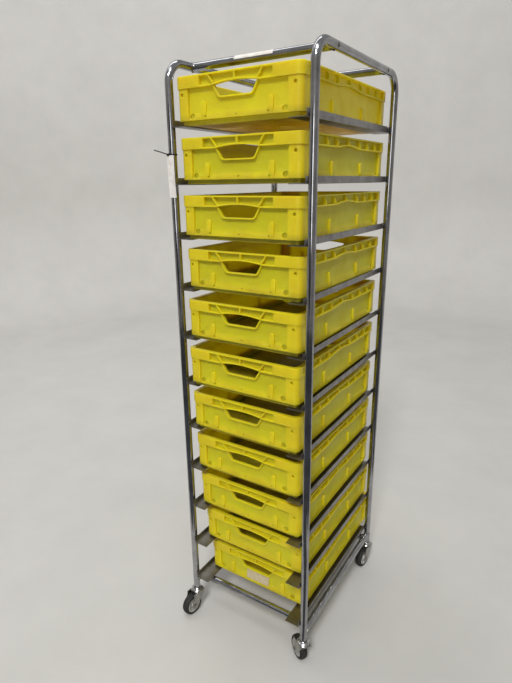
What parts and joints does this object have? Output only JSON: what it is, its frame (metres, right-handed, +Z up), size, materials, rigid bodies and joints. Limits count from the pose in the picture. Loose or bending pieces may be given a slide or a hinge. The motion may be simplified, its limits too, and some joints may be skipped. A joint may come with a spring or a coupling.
{
  "type": "wheeled crate rack",
  "caption": "Tall tube-framed rack on swivel castors, with angle runners that carry a column of sliding, open-topped moulded plastic crates.",
  "frame": {"origin": "on the floor, midway between the four legs", "axes": "+Z up, -Y towards the front where the crates slide out, +X to the right as seen from the front"},
  "size_m": [0.5101, 0.7321, 1.9058],
  "materials": {
    "polished_steel": "polished bent stainless steel tube",
    "satin_steel": "satin bent stainless steel sheet",
    "yellow_plastic": "moulded polyethylene with a soft sheen",
    "zinc_steel": "zinc-plated pressed steel",
    "grey_plastic": "moulded grey polyamide",
    "black_rubber": "moulded black rubber"
  },
  "bodies": {
    "root": {"side_hoop_left": "polished_steel", "side_hoop_right": "polished_steel", "top_tube_front": "polished_steel", "top_tube_rear": "polished_steel", "side_rail_left": "polished_steel", "side_rail_right": "polished_steel", "bottom_tube_front": "polished_steel", "bottom_tube_rear": "polished_steel", "runner_left_01": "satin_steel", "runner_left_02": "satin_steel", "runner_left_03": "satin_steel", "runner_left_04": "satin_steel", "runner_left_05": "satin_steel", "runner_left_06": "satin_steel", "runner_left_07": "satin_steel", "runner_left_08": "satin_steel", "runner_left_09": "satin_steel", "runner_left_10": "satin_steel", "runner_left_11": "satin_steel", "runner_right_01": "satin_steel", "runner_right_02": "satin_steel", "runner_right_03": "satin_steel", "runner_right_04": "satin_steel", "runner_right_05": "satin_steel", "runner_right_06": "satin_steel", "runner_right_07": "satin_steel", "runner_right_08": "satin_steel", "runner_right_09": "satin_steel", "runner_right_10": "satin_steel", "runner_right_11": "satin_steel", "castor_head_front_left": "zinc_steel", "castor_head_front_right": "zinc_steel", "castor_head_rear_left": "zinc_steel", "castor_head_rear_right": "zinc_steel"},
    "crate_01": {"crate_01": "yellow_plastic"},
    "crate_02": {"crate_02": "yellow_plastic"},
    "crate_03": {"crate_03": "yellow_plastic"},
    "crate_04": {"crate_04": "yellow_plastic"},
    "crate_05": {"crate_05": "yellow_plastic"},
    "crate_06": {"crate_06": "yellow_plastic"},
    "crate_07": {"crate_07": "yellow_plastic"},
    "crate_08": {"crate_08": "yellow_plastic"},
    "crate_09": {"crate_09": "yellow_plastic"},
    "crate_10": {"crate_10": "yellow_plastic"},
    "crate_11": {"crate_11": "yellow_plastic"},
    "castor_swivel_front_left": {"castor_fork_front_left": "zinc_steel"},
    "castor_wheel_front_left": {"wheel_centre_front_left": "grey_plastic", "tyre_front_left": "black_rubber"},
    "castor_swivel_front_right": {"castor_fork_front_right": "zinc_steel"},
    "castor_wheel_front_right": {"wheel_centre_front_right": "grey_plastic", "tyre_front_right": "black_rubber"},
    "castor_swivel_rear_left": {"castor_fork_rear_left": "zinc_steel"},
    "castor_wheel_rear_left": {"wheel_centre_rear_left": "grey_plastic", "tyre_rear_left": "black_rubber"},
    "castor_swivel_rear_right": {"castor_fork_rear_right": "zinc_steel"},
    "castor_wheel_rear_right": {"wheel_centre_rear_right": "grey_plastic", "tyre_rear_right": "black_rubber"}
  },
  "joints": [
    {"name": "crate_01_slide", "type": "slide", "parent": "root", "child": "crate_01", "axis": [0, -1, 0], "range_m": [-0.071, 0.563]},
    {"name": "crate_02_slide", "type": "slide", "parent": "root", "child": "crate_02", "axis": [0, -1, 0], "range_m": [-0.066, 0.568]},
    {"name": "crate_03_slide", "type": "slide", "parent": "root", "child": "crate_03", "axis": [0, -1, 0], "range_m": [-0.069, 0.565]},
    {"name": "crate_04_slide", "type": "slide", "parent": "root", "child": "crate_04", "axis": [0, -1, 0], "range_m": [-0.06, 0.574]},
    {"name": "crate_05_slide", "type": "slide", "parent": "root", "child": "crate_05", "axis": [0, -1, 0], "range_m": [-0.068, 0.566]},
    {"name": "crate_06_slide", "type": "slide", "parent": "root", "child": "crate_06", "axis": [0, -1, 0], "range_m": [-0.074, 0.56]},
    {"name": "crate_07_slide", "type": "slide", "parent": "root", "child": "crate_07", "axis": [0, -1, 0], "range_m": [-0.068, 0.566]},
    {"name": "crate_08_slide", "type": "slide", "parent": "root", "child": "crate_08", "axis": [0, -1, 0], "range_m": [-0.06, 0.574]},
    {"name": "crate_09_slide", "type": "slide", "parent": "root", "child": "crate_09", "axis": [0, -1, 0], "range_m": [-0.048, 0.586]},
    {"name": "crate_10_slide", "type": "slide", "parent": "root", "child": "crate_10", "axis": [0, -1, 0], "range_m": [-0.027, 0.607]},
    {"name": "crate_11_slide", "type": "slide", "parent": "root", "child": "crate_11", "axis": [0, -1, 0], "range_m": [0, 0.634]},
    {"name": "castor_swivel_front_left", "type": "hinge", "parent": "root", "child": "castor_swivel_front_left", "pos_m": [-0.2278, -0.2905, 0.091], "axis": [0, 0, 1], "continuous": true},
    {"name": "castor_wheel_front_left", "type": "hinge", "parent": "castor_swivel_front_left", "child": "castor_wheel_front_left", "pos_m": [-0.23198, -0.32021, 0.04], "axis": [0.9903, -0.1392, 0], "continuous": true},
    {"name": "castor_swivel_front_right", "type": "hinge", "parent": "root", "child": "castor_swivel_front_right", "pos_m": [0.2278, -0.2905, 0.091], "axis": [0, 0, 1], "continuous": true},
    {"name": "castor_wheel_front_right", "type": "hinge", "parent": "castor_swivel_front_right", "child": "castor_wheel_front_right", "pos_m": [0.20353, -0.27287, 0.04], "axis": [-0.5878, -0.809, 0], "continuous": true},
    {"name": "castor_swivel_rear_left", "type": "hinge", "parent": "root", "child": "castor_swivel_rear_left", "pos_m": [-0.2278, 0.2905, 0.091], "axis": [0, 0, 1], "continuous": true},
    {"name": "castor_wheel_rear_left", "type": "hinge", "parent": "castor_swivel_rear_left", "child": "castor_wheel_rear_left", "pos_m": [-0.22004, 0.26152, 0.04], "axis": [0.9659, 0.2588, 0], "continuous": true},
    {"name": "castor_swivel_rear_right", "type": "hinge", "parent": "root", "child": "castor_swivel_rear_right", "pos_m": [0.2278, 0.2905, 0.091], "axis": [0, 0, 1], "continuous": true},
    {"name": "castor_wheel_rear_right", "type": "hinge", "parent": "castor_swivel_rear_right", "child": "castor_wheel_rear_right", "pos_m": [0.22362, 0.26079, 0.04], "axis": [0.9903, -0.1392, 0], "continuous": true}
  ]
}
